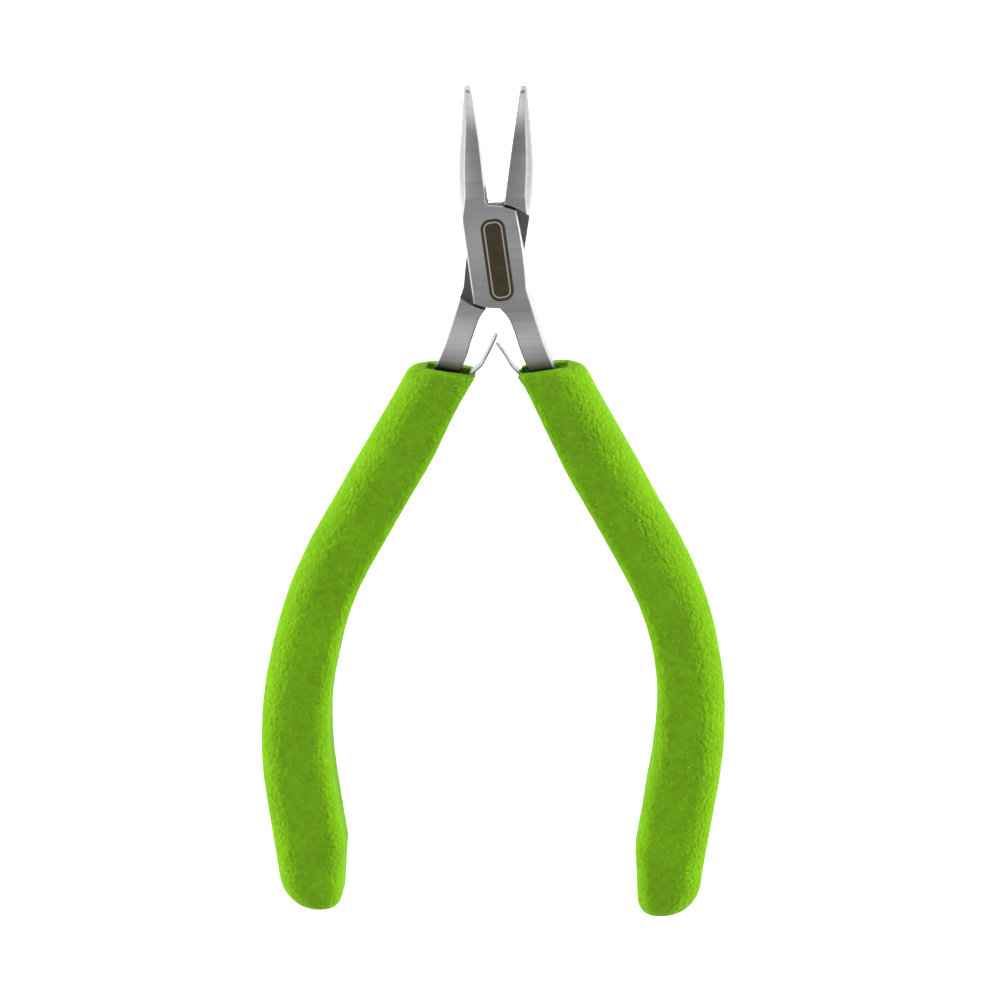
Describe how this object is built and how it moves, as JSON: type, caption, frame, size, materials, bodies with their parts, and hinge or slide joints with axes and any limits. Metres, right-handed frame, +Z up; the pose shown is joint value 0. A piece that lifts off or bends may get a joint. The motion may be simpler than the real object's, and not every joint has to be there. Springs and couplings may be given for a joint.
{
  "type": "needle nose pliers",
  "caption": "Spring-opening bent needle nose pliers with a lap joint, half-round tapering jaws, meeting leaf springs and curved green foam grips.",
  "frame": {"origin": "on the surface that the pliers lie on, under the middle of the opened pliers' overall length and width", "axes": "+Y towards the jaw tips, +Z up out of the front face, +X to the right"},
  "size_m": [0.0812, 0.1452, 0.013],
  "materials": {
    "brushed_steel": "satin ground steel with bright bevelled edges",
    "spring_steel": "polished spring strip",
    "screw_steel": "turned steel",
    "green_foam": "matt fine-grained foam"
  },
  "bodies": {
    "front_lever": {"front_lever": "brushed_steel", "pivot_screw": "screw_steel", "right_grip": "green_foam"},
    "rear_lever": {"rear_lever": "brushed_steel", "left_grip": "green_foam"},
    "right_leaf_spring": {"right_leaf_spring": "spring_steel"},
    "left_leaf_spring": {"left_leaf_spring": "spring_steel"}
  },
  "joints": [
    {"name": "pivot", "type": "hinge", "parent": "front_lever", "child": "rear_lever", "pos_m": [0, 0.0434, 0.0065], "axis": [0, 0, 1], "range_deg": [-5, 16.4], "stiffness_Nm_per_rad": 0.6},
    {"name": "right_leaf_flex", "type": "hinge", "parent": "front_lever", "child": "right_leaf_spring", "pos_m": [0.00854, 0.01776, 0.0065], "axis": [0, 0, 1], "range_deg": [-10.8, 3.4]},
    {"name": "left_leaf_flex", "type": "hinge", "parent": "rear_lever", "child": "left_leaf_spring", "pos_m": [-0.00854, 0.01776, 0.0065], "axis": [0, 0, 1], "range_deg": [-3.4, 10.8]}
  ],
  "couplings": [
    {"joint": "right_leaf_flex", "follows": "pivot", "ratio": -0.64},
    {"joint": "left_leaf_flex", "follows": "pivot", "ratio": 0.64}
  ]
}
